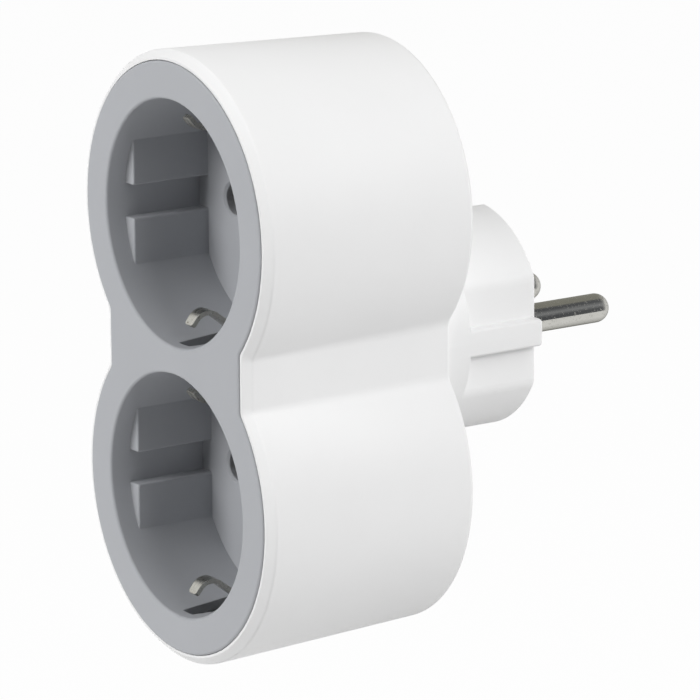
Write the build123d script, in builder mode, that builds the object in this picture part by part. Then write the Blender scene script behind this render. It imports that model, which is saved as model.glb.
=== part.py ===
from build123d import *
import os

os.makedirs("parts", exist_ok=True)

# Two-way socket adapter. The origin is the middle of the plug's end face,
# +Y points into the wall and +Z up. A length called "at" is counted from
# the plug's end face towards the front.

# Socket recesses
recess_d = 39.4
recess_depth = 17.5
recess_edge_r = 0.45
cup_wall = 1.5
cup_gap = 1.6  # between the outsides of the two cups
floor_t = 2.0
pin_spacing = 19.0
entry_clear = 0.2  # entry hole and sleeve over pin
entry_chamfer = 0.4
rib_height = 2.8
rib_gap = 5.4
rib_start = 3.5  # behind the mouth
rib_edge_r = 0.35
rib_end_r = 0.3

# Front insert
plate_margin = 5.95  # from a recess to the insert's edge
plate_t = 2.2
plate_edge_r = 0.4
plate_proud = 0.3  # in front of the housing's rim
waist_inset = 6.6  # how far the waist lies inside the lobes
waist_corner_r = 1.5
skirt_gap = 0.5
skirt_t = 1.2
skirt_length = 4.0

# Housing
insert_gap = 0.1
rim_w = 1.65
rim_chamfer = 1.25
rim_edge_r = 0.5
draft = 2.1
body_depth = 39.7
wall = 2.2
back_t = 2.2
back_edge_r = 0.8

# Plug stem
stem_d = 36.8
stem_length = 18.8
stem_edge_r = 0.6
end_t = 5.0
flat_depth = 2.2
flat_edge_r = 3.0
collar_length = 4.6
ridge_w = 4.5
ridge_edge_r = 0.8

# Plug pins
pin_d = 4.8
pin_length = 19.0
root_step = 0.2
flange_step = 0.9
flange_t = 1.2
flange_gap = 0.5  # from a pin's flange to the stem's bore
shank_d = 4.0
tail_step = 0.4
head_step = 0.9
head_t = 0.8

# Live contacts
bus_t = 0.8
bus_margin = 0.6  # beside a contact's spigot
bus_end = 2.0  # beyond a contact's spigot
bus_clear = 3.7  # from the bus to the back wall
bus_rest_t = 2.0
sleeve_wall = 1.1
sleeve_gap = 0.4  # from the cup floor to a sleeve
sleeve_root = 4.6  # unslotted length
sleeve_slot_w = 0.8
sleeve_flange_step = 0.55
sleeve_flange_t = 1.2
spigot_wall = 0.75

# Earth strips
strip_t = 0.75
strip_gap = 0.35  # at each side of a strip in its slot
strip_bend_r = 0.8
earth_slot_start = 2.1  # behind the mouth
earth_slot_front_w = 3.0
earth_slot_back_w = 9.0
earth_pad = 1.2
bracket_w = 7.0
clip_bend_back = 3.6  # in front of the cup floor
clip_bend_r = 1.6
clip_peak_depth = 5.4
clip_peak_reach = 5.9  # from the recess wall to the strip's middle line
clip_peak_r = 2.45
clip_tip_depth = 3.2
clip_tip_reach = 2.9
clip_tip_w = 1.7
clip_tip_r = 0.5
clip_root_w = 4.4
plug_strip_w = 4.1
plug_strip_end = 1.2
plug_slot_length = 14.2
plug_contact_depth = 1.8  # below the stem's outside
strap_inset = 1.3  # from the stem's bore to the strap
rivet_d = 2.5
rivet_head_step = 0.95
rivet_head_t = 0.8
rivet_inset = 3.35  # from the end of a bracket's wide part

# Case screws
screw_d = 3.0
screw_head_step = 1.3
screw_head_t = 2.0
screw_drive_w = 0.8
screw_drive_length = 3.2
screw_drive_depth = 1.2
screw_drive_draft = 10
screw_clear = 0.1
screw_recess = 5.0
screw_tip_gap = 5.2  # from a screw's tip to the cup floor
screw_x = 11.0
screw_gap = 2.3  # from a bus end to a screw boss
boss_wall = 1.6
boss_web = 2.0

# Sizes that follow: front parts
recess_r = recess_d / 2
cup_r = recess_r + cup_wall
socket_z = cup_r + cup_gap / 2
insert_r = recess_r + plate_margin
lobe_r = insert_r + insert_gap + rim_w
front_at = stem_length + body_depth
rim_at = front_at - plate_proud
floor_at = front_at - recess_depth
floor_back_at = floor_at - floor_t
inside_at = stem_length + back_t
socket_spots = [(0, socket_z), (0, -socket_z)]

# Sizes that follow: pins and live contacts
pin_x = pin_spacing / 2
pin_r = pin_d / 2
root_r = pin_r + root_step
flange_r = root_r + flange_step
shank_r = shank_d / 2
tail_r = shank_r - tail_step
head_r = tail_r + head_step
entry_r = pin_r + entry_clear / 2
spigot_r = entry_r + spigot_wall
bus_w = 2 * (spigot_r + bus_margin)
bus_at = inside_at + bus_clear
bus_front_at = bus_at + bus_t
sleeve_front_at = floor_back_at - sleeve_gap
poles = (("line", pin_x), ("neutral", -pin_x))
levels = (("upper", socket_z), ("lower", -socket_z))

# Sizes that follow: plug stem and earth strips
stem_r = stem_d / 2
stem_bore_r = pin_x + flange_r + flange_gap
flat_x = stem_r - flat_depth
plug_slot_w = plug_strip_w + 2 * strip_gap
plug_slot_floor = stem_r - plug_contact_depth - strip_t
arm_r = recess_r + cup_wall / 2
bracket_half = arm_r - strip_t - strip_bend_r
bracket_at = floor_back_at - earth_pad - strip_t
strap_at = bracket_at - strip_t
rivet_z = socket_z - bracket_half + rivet_inset
rivet_spots = [(0, rivet_z), (0, -rivet_z)]

# Sizes that follow: case screws
screw_head_r = screw_d / 2 + screw_head_step
screw_hole_r = screw_d / 2 + screw_clear / 2
boss_r = screw_head_r + screw_clear + boss_wall
screw_z = socket_z + spigot_r + bus_end + screw_gap + boss_r
screw_spots = [(screw_x, screw_z), (-screw_x, -screw_z)]
screw_seat_at = stem_length + screw_recess
post_at = screw_seat_at + boss_web


def across(at):
    return Plane.XZ.offset(at)


def figure_eight(radius):
    waist_half = radius - waist_inset
    with BuildSketch() as outline:
        with Locations(*socket_spots):
            Circle(radius)
        Rectangle(2 * waist_half, 2 * socket_z)
        corners = [v for v in outline.vertices() if abs(abs(v.X) - waist_half) < 0.001]
        fillet(corners, waist_corner_r)
    return outline.sketch


# Housing: tapered shell, bevelled rim and plug stem in one moulding
with BuildPart() as housing:
    with BuildSketch(across(rim_at)):
        add(figure_eight(lobe_r))
    extrude(amount=stem_length - rim_at, taper=draft)
    chamfer(housing.faces().sort_by(Axis.Y)[0].edges(), rim_chamfer)
    rim_y = rim_chamfer - rim_at
    fillet([e for e in housing.edges() if abs(e.center().Y - rim_y) < rim_chamfer / 10], rim_edge_r)
    fillet(housing.faces().sort_by(Axis.Y)[-1].edges(), back_edge_r)

    # stem with two flats and a centre ridge on each side
    with BuildSketch(across(stem_length)):
        Circle(stem_r)
    extrude(amount=-stem_length)
    with BuildSketch(across(0)):
        Rectangle(2 * stem_d, stem_d)
        Rectangle(2 * flat_x, stem_d, mode=Mode.SUBTRACT)
        RectangleRounded(stem_d + ridge_edge_r / 8, ridge_w, ridge_edge_r, mode=Mode.SUBTRACT)
    extrude(amount=stem_length - collar_length, mode=Mode.SUBTRACT)
    flat_edges = [e for e in housing.edges().filter_by(Axis.Y) if abs(abs(e.center().X) - flat_x) < 0.001]
    fillet([e for e in flat_edges if abs(e.center().Z) > ridge_w], flat_edge_r)
    fillet(housing.faces().sort_by(Axis.Y)[-1].edges(), stem_edge_r)

    # hollow inside, with a ledge for the insert's plate
    with BuildSketch(across(rim_at)):
        add(figure_eight(lobe_r - wall))
    extrude(amount=inside_at - rim_at, taper=draft, mode=Mode.SUBTRACT)
    with BuildSketch(across(front_at)):
        add(figure_eight(insert_r + insert_gap))
    extrude(amount=-plate_t, mode=Mode.SUBTRACT)
    with BuildSketch(across(end_t)):
        Circle(stem_bore_r)
    extrude(amount=inside_at - end_t, mode=Mode.SUBTRACT)

    # seats of the pins, and slots of the plug's earth strap
    with BuildSketch(across(0)):
        with Locations((pin_x, 0), (-pin_x, 0)):
            Circle(root_r)
    extrude(amount=end_t, mode=Mode.SUBTRACT)
    with BuildSketch(across(0)):
        Rectangle(plug_slot_w, 2 * stem_d)
        Rectangle(plug_slot_w, 2 * plug_slot_floor, mode=Mode.SUBTRACT)
    extrude(amount=plug_slot_length, mode=Mode.SUBTRACT)
    with BuildSketch(across(plug_slot_length)):
        Rectangle(plug_slot_w, 2 * plug_slot_floor)
    extrude(amount=-strip_gap - strip_t - strip_bend_r, mode=Mode.SUBTRACT)

    # rests behind the bus strips
    rest_z = stem_bore_r + bus_rest_t
    with BuildSketch(across(inside_at)):
        with Locations(*[(x, z) for x in (pin_x, -pin_x) for z in (rest_z, -rest_z)]):
            Rectangle(bus_w, bus_rest_t)
    extrude(amount=bus_clear)

    # sunk screw bosses
    with BuildSketch(across(post_at)):
        with Locations(*screw_spots):
            Circle(boss_r)
    extrude(amount=stem_length - post_at)
    with BuildSketch(across(post_at)):
        with Locations(*screw_spots):
            Circle(screw_d / 2 + screw_clear)
    extrude(amount=-boss_web, mode=Mode.SUBTRACT)
    with BuildSketch(across(screw_seat_at)):
        with Locations(*screw_spots):
            Circle(screw_head_r + screw_clear)
    extrude(amount=-screw_recess, mode=Mode.SUBTRACT)
housing.part.label = "housing"
export_step(housing.part, "parts/housing.step")

# Front insert: plate, skirt and two cups with guide ribs
with BuildPart() as front_insert:
    with BuildSketch(across(front_at)):
        add(figure_eight(insert_r))
    extrude(amount=-plate_t)
    fillet(front_insert.faces().sort_by(Axis.Y)[0].edges(), plate_edge_r)
    skirt_r = lobe_r - wall - skirt_gap
    with BuildSketch(across(front_at - plate_t)):
        add(figure_eight(skirt_r))
        add(figure_eight(skirt_r - skirt_t), mode=Mode.SUBTRACT)
    extrude(amount=-skirt_length)
    with BuildSketch(across(floor_back_at)):
        with Locations(*socket_spots):
            Circle(cup_r)
    extrude(amount=front_at - plate_t - floor_back_at)
    with BuildSketch(across(front_at)):
        with Locations(*socket_spots):
            Circle(recess_r)
    extrude(amount=-recess_depth, mode=Mode.SUBTRACT)
    front_circles = front_insert.edges().filter_by(GeomType.CIRCLE).group_by(Axis.Y)[0]
    fillet([e for e in front_circles if abs(e.radius - recess_r) < 0.001], recess_edge_r)

    # guide ribs at the sides of each cup
    rib_x = recess_r - rib_height
    with BuildSketch(across(floor_at)) as ribs:
        with Locations(*socket_spots):
            Circle(recess_r + cup_wall / 2)
            Rectangle(2 * rib_x, 2 * cup_r, mode=Mode.SUBTRACT)
            Rectangle(2 * cup_r, rib_gap, mode=Mode.SUBTRACT)
        inner = [v for v in ribs.vertices() if abs(abs(v.X) - rib_x) < 0.001]
        fillet([v for v in inner if abs(abs(v.Y) - socket_z) < rib_gap], rib_edge_r)
    extrude(amount=recess_depth - rib_start)
    rib_fronts = [e for e in front_insert.edges() if abs(e.center().Y - rib_start + front_at) < 0.001]
    fillet([e for e in rib_fronts if e.geom_type == GeomType.LINE or e.radius < rib_height], rib_end_r)

    # pads for the earth brackets and posts for the screws, behind the cups
    with BuildSketch(across(floor_back_at)):
        with Locations(*socket_spots):
            Rectangle(bracket_w, bracket_w)
    extrude(amount=-earth_pad)
    with BuildSketch(across(floor_back_at)):
        with Locations(*screw_spots):
            Circle(screw_hole_r + boss_wall)
            Circle(screw_hole_r, mode=Mode.SUBTRACT)
    extrude(amount=post_at - floor_back_at)

    # pin entries with a broken edge, and slots for the earth strips
    with BuildSketch(across(floor_at)):
        with Locations(*[(x, z) for pole, x in poles for level, z in levels]):
            Circle(entry_r)
    extrude(amount=-floor_t, mode=Mode.SUBTRACT)
    small_circles = front_insert.edges().filter_by(GeomType.CIRCLE).sort_by(Axis.Y)
    entry_rims = [e for e in small_circles if abs(e.radius - entry_r) < 0.001]
    chamfer(entry_rims[:len(poles) * len(levels)], entry_chamfer)
    slot_undersides = [z + r for level, z in levels for r in (recess_r - strip_t, -cup_r - strip_gap)]
    with BuildSketch(*[Plane.XY.offset(z) for z in slot_undersides]):
        with BuildLine():
            Polyline(
                (earth_slot_front_w / 2, earth_slot_start - front_at),
                (earth_slot_back_w / 2, -floor_back_at),
                (-earth_slot_back_w / 2, -floor_back_at),
                (-earth_slot_front_w / 2, earth_slot_start - front_at),
                close=True,
            )
        make_face()
    extrude(amount=strip_t + cup_wall + strip_gap, mode=Mode.SUBTRACT)
front_insert.part.label = "front_insert"
export_step(front_insert.part, "parts/front_insert.step")

# Plug pins: domed free end, thicker root in the end wall, riveted tail
for pole, x in poles:
    with BuildPart() as pin:
        with BuildSketch(Plane((x, 0, 0))):
            with BuildLine():
                RadiusArc((0, pin_length), (pin_r, pin_length - pin_r), pin_r)
                Polyline(
                    (pin_r, pin_length - pin_r),
                    (pin_r, 0),
                    (root_r, 0),
                    (root_r, -end_t),
                    (flange_r, -end_t),
                    (flange_r, -end_t - flange_t),
                    (shank_r, -end_t - flange_t),
                    (shank_r, -bus_at),
                    (tail_r, -bus_at),
                    (tail_r, -bus_front_at),
                    (head_r, -bus_front_at),
                    (head_r, -bus_front_at - head_t),
                    (0, -bus_front_at - head_t),
                    (0, pin_length),
                )
            make_face()
        revolve(axis=Axis((x, 0, 0), (0, 1, 0)))
    pin.part.label = f"{pole}_pin"
    export_step(pin.part, f"parts/{pole}_pin.step")

# Bus strips: one for each pole, holed for two contacts and a pin's tail
for pole, x in poles:
    with BuildPart() as bus:
        with BuildSketch(across(bus_at)):
            with Locations((x, 0)):
                SlotOverall(2 * (socket_z + spigot_r + bus_end), bus_w, rotation=90)
                Circle(tail_r, mode=Mode.SUBTRACT)
            with Locations((x, socket_z), (x, -socket_z)):
                Circle(spigot_r, mode=Mode.SUBTRACT)
        extrude(amount=bus_t)
    bus.part.label = f"{pole}_bus"
    export_step(bus.part, f"parts/{pole}_bus.step")

# Contact sleeves: slotted, with a flange and a spigot staked into the bus
for level, z in levels:
    for pole, x in poles:
        with BuildPart() as contact:
            with BuildSketch(Plane((x, 0, z))):
                with BuildLine():
                    Polyline(
                        (entry_r, -bus_at),
                        (spigot_r, -bus_at),
                        (spigot_r, -bus_front_at),
                        (entry_r + sleeve_wall + sleeve_flange_step, -bus_front_at),
                        (entry_r + sleeve_wall + sleeve_flange_step, -bus_front_at - sleeve_flange_t),
                        (entry_r + sleeve_wall, -bus_front_at - sleeve_flange_t),
                        (entry_r + sleeve_wall, -sleeve_front_at),
                        (entry_r + sleeve_wall / 2, -sleeve_front_at),
                        (entry_r, -sleeve_front_at + sleeve_wall / 2),
                        close=True,
                    )
                make_face()
            revolve(axis=Axis((x, 0, z), (0, 1, 0)))
            with BuildSketch(across(sleeve_front_at)):
                with Locations((x, z)):
                    Rectangle(sleeve_slot_w, bus_w)
                    Rectangle(bus_w, sleeve_slot_w)
            extrude(amount=bus_front_at + sleeve_root - sleeve_front_at, mode=Mode.SUBTRACT)
        contact.part.label = f"{level}_{pole}_contact"
        export_step(contact.part, f"parts/{level}_{pole}_contact.step")

# Earth brackets: a strip bent round the back of each cup, with sprung tips
clip = [
    (clip_tip_depth - front_at, recess_r - clip_tip_reach),
    (clip_peak_depth - front_at, recess_r - clip_peak_reach),
    (-floor_at - clip_bend_back, arm_r),
    (-bracket_at - strip_t / 2, arm_r),
]
bends = [clip_peak_r, clip_bend_r, strip_bend_r]
for level, z in levels:
    with BuildPart() as bracket:
        with BuildLine(Plane.YZ) as strip_line:
            top_half = [(y, z + r) for y, r in clip]
            bottom_half = [(y, z - r) for y, r in reversed(clip)]
            FilletPolyline(*top_half, *bottom_half, radius=bends + bends[::-1])
        with BuildSketch(Plane(strip_line.line @ 0, x_dir=(1, 0, 0), z_dir=strip_line.line % 0)):
            Rectangle(bracket_w, strip_t)
        sweep(path=strip_line.line)
        with BuildSketch():
            with BuildLine():
                Polyline(
                    (clip_tip_w / 2, -front_at),
                    (clip_root_w / 2, -floor_back_at),
                    (bracket_w / 2, -floor_back_at),
                    (bracket_w / 2, -bracket_at),
                    (-bracket_w / 2, -bracket_at),
                    (-bracket_w / 2, -floor_back_at),
                    (-clip_root_w / 2, -floor_back_at),
                    (-clip_tip_w / 2, -front_at),
                    close=True,
                )
            make_face()
        extrude(amount=socket_z + cup_r, both=True, mode=Mode.INTERSECT)
        tip_ends = bracket.faces().sort_by(Axis.Y)[:2]
        fillet([e for face in tip_ends for e in face.edges() if e.length < (strip_t + clip_tip_w) / 2], clip_tip_r)
        with BuildSketch(across(bracket_at)):
            with Locations(*rivet_spots):
                Circle(rivet_d / 2)
        extrude(amount=strip_t, mode=Mode.SUBTRACT)
    bracket.part.label = f"{level}_earth_bracket"
    export_step(bracket.part, f"parts/{level}_earth_bracket.step")

# Plug earth strap: U-shaped, its ends in the slots at the plug's top and bottom
leg_y = strip_gap + strip_t / 2 - plug_slot_length
leg = [
    (-plug_strip_end, plug_slot_floor + strip_t / 2),
    (leg_y, plug_slot_floor + strip_t / 2),
    (leg_y, stem_bore_r - strap_inset - strip_t / 2),
    (-strap_at - strip_t / 2, stem_bore_r - strap_inset - strip_t / 2),
]
with BuildPart() as plug_earth_strap:
    with BuildLine(Plane.YZ) as strap_line:
        FilletPolyline(*leg, *[(y, -z) for y, z in reversed(leg)], radius=strip_bend_r)
    with BuildSketch(Plane(strap_line.line @ 0, x_dir=(1, 0, 0), z_dir=strap_line.line % 0)):
        Rectangle(plug_strip_w, strip_t)
    sweep(path=strap_line.line)
    with BuildSketch(across(strap_at)):
        with Locations(*rivet_spots):
            Circle(rivet_d / 2)
    extrude(amount=strip_t, mode=Mode.SUBTRACT)
plug_earth_strap.part.label = "plug_earth_strap"
export_step(plug_earth_strap.part, "parts/plug_earth_strap.step")

# Earth rivets: each through the strap and one bracket
with BuildPart() as earth_rivets:
    with BuildSketch(across(strap_at)):
        with Locations(*rivet_spots):
            Circle(rivet_d / 2)
    extrude(amount=2 * strip_t)
    for head_at in (strap_at - rivet_head_t, strap_at + 2 * strip_t):
        with BuildSketch(across(head_at)):
            with Locations(*rivet_spots):
                Circle(rivet_d / 2 + rivet_head_step)
        extrude(amount=rivet_head_t)
earth_rivets.part.label = "earth_rivets"
export_step(earth_rivets.part, "parts/earth_rivets.step")

# Case screws: sunk in the back and driven into the insert's posts
with BuildPart() as case_screws:
    with BuildSketch(across(screw_seat_at)):
        with Locations(*screw_spots):
            Circle(screw_head_r)
    extrude(amount=-screw_head_t)
    fillet(case_screws.edges().group_by(Axis.Y)[-1], screw_head_t / 3)
    with BuildSketch(across(screw_seat_at - screw_head_t)):
        with Locations(*screw_spots):
            Rectangle(screw_drive_length, screw_drive_w)
            Rectangle(screw_drive_w, screw_drive_length)
    extrude(amount=screw_drive_depth, taper=screw_drive_draft, mode=Mode.SUBTRACT)
    with BuildSketch(across(screw_seat_at)):
        with Locations(*screw_spots):
            Circle(screw_d / 2)
    extrude(amount=floor_back_at - screw_tip_gap - screw_seat_at)
case_screws.part.label = "case_screws"
export_step(case_screws.part, "parts/case_screws.step")
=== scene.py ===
import math

import bpy
from mathutils import Matrix, Vector

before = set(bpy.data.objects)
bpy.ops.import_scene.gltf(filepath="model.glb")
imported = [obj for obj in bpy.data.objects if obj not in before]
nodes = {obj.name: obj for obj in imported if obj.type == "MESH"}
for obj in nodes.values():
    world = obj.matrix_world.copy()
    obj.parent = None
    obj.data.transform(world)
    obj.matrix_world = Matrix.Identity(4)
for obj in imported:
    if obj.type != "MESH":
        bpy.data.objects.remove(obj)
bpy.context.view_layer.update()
scene = bpy.context.scene
mm = 0.001
print("frame loaded:", len(nodes), "CAD pieces")


# sRGB hex to linear light
def linear(hexColour):
    levels = [int(hexColour[i:i + 2], 16) / 255 for i in (1, 3, 5)]
    light = [v / 12.92 if v <= 0.04045 else ((v + 0.055) / 1.055) ** 2.4 for v in levels]
    return light + [1.0]


# A setting goes to the input of that name or number, or else to the node itself
# A colour Mix goes by number: input 0 is the share, inputs 6 and 7 the colours, output 2 the mix
def addNode(tree, kind, settings=None, links=None):
    node = tree.nodes.new(kind)
    for name, value in (settings or {}).items():
        if isinstance(name, int) or name in node.inputs:
            node.inputs[name].default_value = value
        else:
            setattr(node, name, value)
    for name, socket in (links or {}).items():
        tree.links.new(socket, node.inputs[name])
    return node


def newMaterial(name):
    material = bpy.data.materials.new(name)
    material.use_nodes = True
    tree = material.node_tree
    return material, tree, tree.nodes["Principled BSDF"]


def dress(names, material):
    for name in names:
        nodes[name].data.materials.clear()
        nodes[name].data.materials.append(material)


# Two tones in patches, a grain that breaks up the gloss and stands out a little, and softened edges
def surface(tree, shader, look, kind):
    place = addNode(tree, "ShaderNodeTexCoord").outputs["Object"]
    patches = addNode(tree, "ShaderNodeTexNoise",
                      {"Scale": 1 / (look["patchMm"] * mm), "Detail": kind["patchDetail"]},
                      {"Vector": place}).outputs["Fac"]
    tone = addNode(tree, "ShaderNodeMix",
                   {"data_type": "RGBA", 6: linear(look["shade"]), 7: linear(look["colour"])},
                   {0: patches}).outputs[2]
    lay = addNode(tree, "ShaderNodeMapping", {"Scale": [1 / (size * mm) for size in look["grainMm"]]},
                  {"Vector": place}).outputs["Vector"]
    grain = addNode(tree, "ShaderNodeTexNoise", {"Scale": 1.0, "Detail": kind["grainDetail"]},
                    {"Vector": lay}).outputs["Fac"]
    gloss = addNode(tree, "ShaderNodeMapRange",
                    {"To Min": look["roughness"][0], "To Max": look["roughness"][1]},
                    {"Value": grain}).outputs["Result"]
    edges = addNode(tree, "ShaderNodeBevel",
                    {"samples": kind["edgeSamples"], "Radius": look["edgeMm"] * mm}).outputs["Normal"]
    relief = addNode(tree, "ShaderNodeBump",
                     {"Strength": kind["relief"], "Distance": look["grainDepthMm"] * mm},
                     {"Height": grain, "Normal": edges}).outputs["Normal"]
    tree.links.new(tone, shader.inputs["Base Color"])
    tree.links.new(gloss, shader.inputs["Roughness"])
    tree.links.new(relief, shader.inputs["Normal"])
    return place, tone, gloss


# A moulding: the patches are faint flow clouds, and the grain is the spark-eroded mould's
# The real grain is about 0.1 mm wide, drawn coarser so that it shows
moulding = {"patchDetail": 2.0, "grainDetail": 3.0, "relief": 0.5, "edgeSamples": 6}


def moulded(look):
    material, tree, shader = newMaterial(look["name"])
    surface(tree, shader, look, moulding)
    return material


# White polycarbonate: satin, with a broad soft sheen along the lobes
whiteShell = {"name": "moulded_white_polycarbonate", "colour": "#F3F3F3", "shade": "#EFEFEF",
              "patchMm": 18, "grainMm": (0.35, 0.35, 0.35), "grainDepthMm": 0.004,
              "roughness": (0.36, 0.48), "edgeMm": 0.2}
dress(["housing"], moulded(whiteShell))

# Grey polycarbonate: a matter grain than the shell's, so the front shows an even tone with no gloss
greyFront = {"name": "moulded_grey_polycarbonate", "colour": "#B1B3B7", "shade": "#ADAFB3",
             "patchMm": 12, "grainMm": (0.3, 0.3, 0.3), "grainDepthMm": 0.006,
             "roughness": (0.46, 0.6), "edgeMm": 0.25}
dress(["front_insert"], moulded(greyFront))
print("plastics done")

# A metal: on strip and pins the grain is drawn out into rolling or turning lines, and small pits dull it
# The real lines are 0.1 mm apart or less, drawn wider so that they show
metalwork = {"patchDetail": 4.0, "grainDetail": 3.0, "pitDetail": 2.0, "relief": 0.6, "edgeSamples": 4}


def metal(look):
    material, tree, shader = newMaterial(look["name"])
    place, tone, gloss = surface(tree, shader, look, metalwork)
    pits = addNode(tree, "ShaderNodeTexNoise",
                   {"Scale": 1 / (look["pitMm"] * mm), "Detail": metalwork["pitDetail"]},
                   {"Vector": place}).outputs["Fac"]
    pitted = addNode(tree, "ShaderNodeMapRange",
                     {"From Min": look["pits"][0], "From Max": look["pits"][1]},
                     {"Value": pits}).outputs["Result"]
    specked = addNode(tree, "ShaderNodeMix", {"data_type": "RGBA", 7: linear(look["pit"])},
                      {0: pitted, 6: tone}).outputs[2]
    rough = addNode(tree, "ShaderNodeMath", {"operation": "MULTIPLY_ADD", 1: look["pitDull"]},
                    {0: pitted, 2: gloss}).outputs[0]
    if "tipMm" in look:
        along = addNode(tree, "ShaderNodeSeparateXYZ", None, {"Vector": place}).outputs["Y"]
        tip = addNode(tree, "ShaderNodeMapRange",
                      {"From Min": look["tipMm"][0] * mm, "From Max": look["tipMm"][1] * mm,
                       "To Max": look["tipDull"]}, {"Value": along}).outputs["Result"]
        rough = addNode(tree, "ShaderNodeMath", {"operation": "ADD"}, {0: rough, 1: tip}).outputs[0]
    # these take the place of the plain tone and gloss
    tree.links.new(specked, shader.inputs["Base Color"])
    tree.links.new(rough, shader.inputs["Roughness"])
    shader.inputs["Metallic"].default_value = 1.0
    return material


# Nickel plate over turned brass: mirror-like, with dull specks and a tip worn duller by use
pinPlate = {"name": "nickel_plated_turned_brass", "colour": "#CBCAC5", "shade": "#BCBBB5",
            "patchMm": 3.0, "grainMm": (4.0, 0.35, 1.6), "grainDepthMm": 0.0015,
            "roughness": (0.05, 0.16), "edgeMm": 0.1,
            "pit": "#BFBEB8", "pitMm": 0.4, "pits": (0.57, 0.65), "pitDull": 0.3,
            "tipMm": (16.0, 18.0), "tipDull": 0.3}
dress(["line_pin", "neutral_pin"], metal(pinPlate))

# Nickel plate over rolled strip: duller than the pins and a little yellow, the grain along the strip
stripPlate = {"name": "nickel_plated_rolled_strip", "colour": "#C4C3BC", "shade": "#ADABA3",
              "patchMm": 2.0, "grainMm": (0.15, 4.0, 4.0), "grainDepthMm": 0.003,
              "roughness": (0.2, 0.36), "edgeMm": 0.12,
              "pit": "#7C776B", "pitMm": 0.5, "pits": (0.62, 0.7), "pitDull": 0.15}
dress(["upper_earth_bracket", "lower_earth_bracket", "plug_earth_strap", "earth_rivets"],
      metal(stripPlate))

# Bare brass strip and turned sleeves: warm, with brown tarnish in patches
brassSheet = {"name": "rolled_brass", "colour": "#CDAA62", "shade": "#B08C4A",
              "patchMm": 4.0, "grainMm": (0.2, 2.0, 5.0), "grainDepthMm": 0.003,
              "roughness": (0.22, 0.4), "edgeMm": 0.1,
              "pit": "#7E6233", "pitMm": 0.8, "pits": (0.6, 0.68), "pitDull": 0.2}
dress([name for name in nodes if name.endswith(("_bus", "_contact"))], metal(brassSheet))

# Zinc-plated steel: pale grey with a straw tint in patches
screwPlate = {"name": "zinc_plated_steel", "colour": "#C3C6C9", "shade": "#BDB698",
              "patchMm": 1.5, "grainMm": (0.4, 0.4, 0.4), "grainDepthMm": 0.004,
              "roughness": (0.24, 0.4), "edgeMm": 0.1,
              "pit": "#8B8C8C", "pitMm": 0.35, "pits": (0.62, 0.7), "pitDull": 0.15}
dress(["case_screws"], metal(screwPlate))
print("metals done")


# 1 for rays that look at the stage, straight or by a mirror or glass, and 0 for rays that light
def looking(tree):
    path = addNode(tree, "ShaderNodeLightPath")
    seen = path.outputs["Is Camera Ray"]
    for name in ("Is Glossy Ray", "Is Transmission Ray"):
        seen = addNode(tree, "ShaderNodeMath", {"operation": "MAXIMUM"},
                       {0: seen, 1: path.outputs[name]}).outputs[0]
    return seen


# The stage is in metres. A white floor lies well below the adapter, which hangs in a wall socket
# A ray that looks sees white, with a share of lit paper for the shadow. From below the floor is clear
floor = {"size": 8.0, "height": -0.16, "colour": "#E6E6E6", "white": 0.97}
bpy.ops.object.select_all(action="DESELECT")
bpy.ops.mesh.primitive_plane_add(size=floor["size"], location=(0, 0, floor["height"]))
floorSheet = bpy.context.object
floorSheet.name = "floor"
floorPaper, tree, shader = newMaterial("white_paper")
tree.nodes.remove(shader)
share = addNode(tree, "ShaderNodeMapRange", {"To Max": floor["white"]}, {"Value": looking(tree)})
paper = addNode(tree, "ShaderNodeBsdfDiffuse", {"Color": linear(floor["colour"])})
glow = addNode(tree, "ShaderNodeEmission")
upper = addNode(tree, "ShaderNodeMixShader", None,
                {0: share.outputs[0], 1: paper.outputs[0], 2: glow.outputs[0]})
below = addNode(tree, "ShaderNodeNewGeometry").outputs["Backfacing"]
clear = addNode(tree, "ShaderNodeBsdfTransparent")
sheet = addNode(tree, "ShaderNodeMixShader", None, {0: below, 1: upper.outputs[0], 2: clear.outputs[0]})
tree.links.new(sheet.outputs[0], tree.nodes["Material Output"].inputs["Surface"])
floorSheet.data.materials.append(floorPaper)

# World: white where it is seen, softer where it lights
studio = {"seen": 1.0, "light": 0.24}
scene.world = bpy.data.worlds.new("studio")
scene.world.use_nodes = True
tree = scene.world.node_tree
level = addNode(tree, "ShaderNodeMapRange", {"To Min": studio["light"], "To Max": studio["seen"]},
                {"Value": looking(tree)})
tree.nodes["Background"].inputs["Color"].default_value = (1, 1, 1, 1)
tree.links.new(level.outputs["Result"], tree.nodes["Background"].inputs["Strength"])

# About the middle of the body, without the plug: lamps, black card and camera stand round it
bodyMiddleMm = -38.5
middle = Vector((0, bodyMiddleMm * mm, 0))


# Azimuth 0 is in front of the sockets, and 90 is at the right
def direction(azimuth, elevation):
    turn, tilt = math.radians(azimuth), math.radians(elevation)
    return Vector((math.sin(turn) * math.cos(tilt), -math.cos(turn) * math.cos(tilt), math.sin(tilt)))


# Sets a lamp or a card round the body, facing it
def faceBody(thing, spot):
    away = direction(spot["azimuth"], spot["elevation"])
    thing.location = middle + away * spot["distance"]
    thing.rotation_mode = "QUATERNION"
    thing.rotation_quaternion = away.to_track_quat("Z", "Y")


# Soft boxes, not mirrored: shiny pieces show the white studio and the pin tunnel instead
softBoxes = {
    "key": {"azimuth": 122, "elevation": 38, "distance": 1.2, "size": 1.0, "power": 9.2},
    "edge": {"azimuth": 83, "elevation": 29, "distance": 1.2, "size": 0.2, "power": 2.3},
    "fill": {"azimuth": -10, "elevation": 26, "distance": 1.2, "size": 0.6, "power": 9.7},
}
for name, box in softBoxes.items():
    lamp = bpy.data.objects.new(name, bpy.data.lights.new(name, "AREA"))
    lamp.data.size = box["size"]
    lamp.data.energy = box["power"]
    lamp.visible_glossy = False
    scene.collection.objects.link(lamp)
    faceBody(lamp, box)

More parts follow.
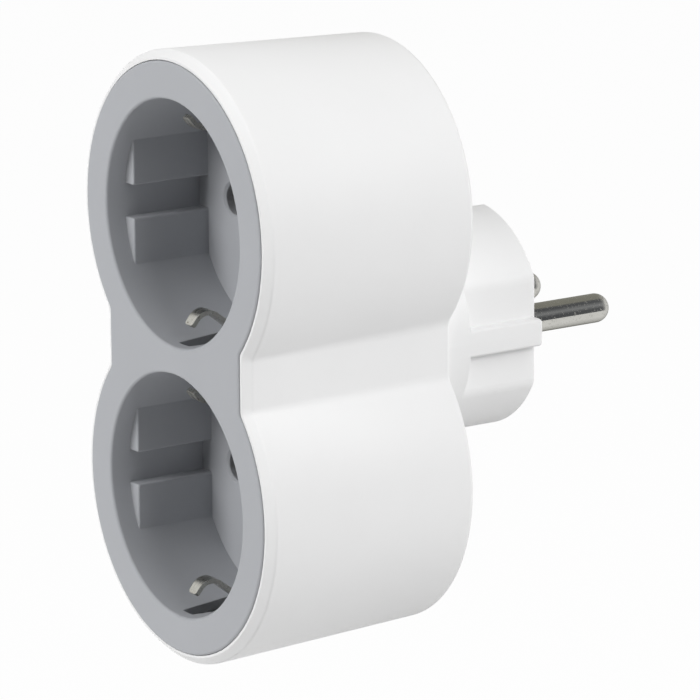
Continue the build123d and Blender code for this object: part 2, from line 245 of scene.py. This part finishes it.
# A tunnel that glows in greys round the line of the pins, which only mirrors see, paints reflected bands
# on the pins: painted reflection
# A band has its angle from the right over the top, its painted grey, and its cover from 0 to 1
# The radius stays under the floor's depth, so that the floor hides none of it, and both ends fade out
tunnel = {"radius": 0.15, "long": 0.45, "sides": 96, "nearFade": 0.075, "farFade": 0.38,
          "paintedGreys": {"dark": "#57595E", "haze": "#95979B", "olive": "#919087", "low": "#605F55"},
          "bands": [(-166, "olive", 1), (-160, "low", 1), (-136, "low", 1), (-100, "low", 0.4),
                    (-62, "low", 0), (-17, "dark", 0), (-15.5, "dark", 1), (8, "dark", 1),
                    (31, "haze", 1), (58, "dark", 1), (74, "dark", 1), (86, "olive", 1)]}
bpy.ops.mesh.primitive_cylinder_add(vertices=tunnel["sides"], radius=tunnel["radius"],
                                    depth=tunnel["long"], end_fill_type="NOTHING",
                                    location=(0, tunnel["long"] / 2, 0),
                                    rotation=(math.radians(90), 0, 0))
pinTunnel = bpy.context.object
pinTunnel.name = "pin_tunnel"
pinTunnel.visible_camera = False
pinTunnel.visible_diffuse = False
pinTunnel.visible_transmission = False
pinTunnel.visible_shadow = False
pinReflectionPaint, tree, shader = newMaterial("painted_pin_reflection")
tree.nodes.remove(shader)
place = addNode(tree, "ShaderNodeTexCoord").outputs["Object"]
around = addNode(tree, "ShaderNodeTexGradient", {"gradient_type": "RADIAL"}, {"Vector": place})
ramp = addNode(tree, "ShaderNodeValToRGB", None, {"Fac": around.outputs["Fac"]})
for stop in ramp.color_ramp.elements:
    stop.color = linear(tunnel["paintedGreys"]["olive"])
for angle, paintedGrey, cover in tunnel["bands"]:
    stop = ramp.color_ramp.elements.new(angle / 360 + 0.5)
    stop.color = linear(tunnel["paintedGreys"][paintedGrey])[:3] + [cover]
along = addNode(tree, "ShaderNodeSeparateXYZ", None, {"Vector": place}).outputs["Z"]
covered = ramp.outputs["Alpha"]
nearEnd, farEnd = tunnel["long"] / 2, -tunnel["long"] / 2
for end, inward in ((nearEnd, nearEnd - tunnel["nearFade"]), (farEnd, farEnd + tunnel["farFade"])):
    fade = addNode(tree, "ShaderNodeMapRange",
                   {"interpolation_type": "SMOOTHSTEP", "From Min": end, "From Max": inward},
                   {"Value": along})
    covered = addNode(tree, "ShaderNodeMath", {"operation": "MULTIPLY"},
                      {0: covered, 1: fade.outputs["Result"]}).outputs[0]
# The tunnel glows in the band's grey though it is no lamp: painted reflection for the pins
face = addNode(tree, "ShaderNodeEmission", None, {"Color": ramp.outputs["Color"]})
clear = addNode(tree, "ShaderNodeBsdfTransparent")
wall = addNode(tree, "ShaderNodeMixShader", None, {0: covered, 1: clear.outputs[0], 2: face.outputs[0]})
tree.links.new(wall.outputs[0], tree.nodes["Material Output"].inputs["Surface"])
pinTunnel.data.materials.append(pinReflectionPaint)

# A black card before the right side, which no ray that looks sees
# It keeps the floor's light out of the recesses
recessCard = {"azimuth": 38, "elevation": 0, "distance": 0.42, "wide": 0.5, "high": 0.7,
              "colour": "#0A0A0A", "roughness": 1.0}
bpy.ops.mesh.primitive_plane_add(size=1.0)
blackCard = bpy.context.object
blackCard.name = "black_card"
faceBody(blackCard, recessCard)
blackCard.scale = (recessCard["wide"], recessCard["high"], 1)
blackCard.visible_camera = False
blackCard.visible_glossy = False
blackCard.visible_transmission = False
cardFelt, tree, shader = newMaterial("black_felt")
shader.inputs["Base Color"].default_value = linear(recessCard["colour"])
shader.inputs["Roughness"].default_value = recessCard["roughness"]
blackCard.data.materials.append(cardFelt)

# Camera: where the photograph was taken from, aimed so the adapter lies left of centre
# across and up turn the aim, as shares of the distance
view = {"azimuth": 57.204, "elevation": 13.991, "distance": 0.8, "roll": -0.533,
        "lens": 258.33, "sensor": 36, "across": 0.01398, "up": 0.001362, "near": 0.05, "far": 50}
back = direction(view["azimuth"], view["elevation"])
right = Vector((0, 0, 1)).cross(back).normalized()
up = back.cross(right)
roll = math.radians(view["roll"])
right, up = right * math.cos(roll) + up * math.sin(roll), up * math.cos(roll) - right * math.sin(roll)
aim = (back - right * view["across"] + up * view["up"]).normalized()
right = up.cross(aim).normalized()
camera = bpy.data.objects.new("camera", bpy.data.cameras.new("camera"))
scene.collection.objects.link(camera)
camera.data.lens = view["lens"]
camera.data.sensor_width = view["sensor"]
camera.data.clip_start = view["near"]
camera.data.clip_end = view["far"]
camera.rotation_mode = "QUATERNION"
camera.rotation_quaternion = Matrix((right, aim.cross(right), aim)).transposed().to_quaternion()
camera.location = middle + back * view["distance"]
scene.camera = camera
scene.view_settings.view_transform = "Standard"
print("stage, lights and camera done")
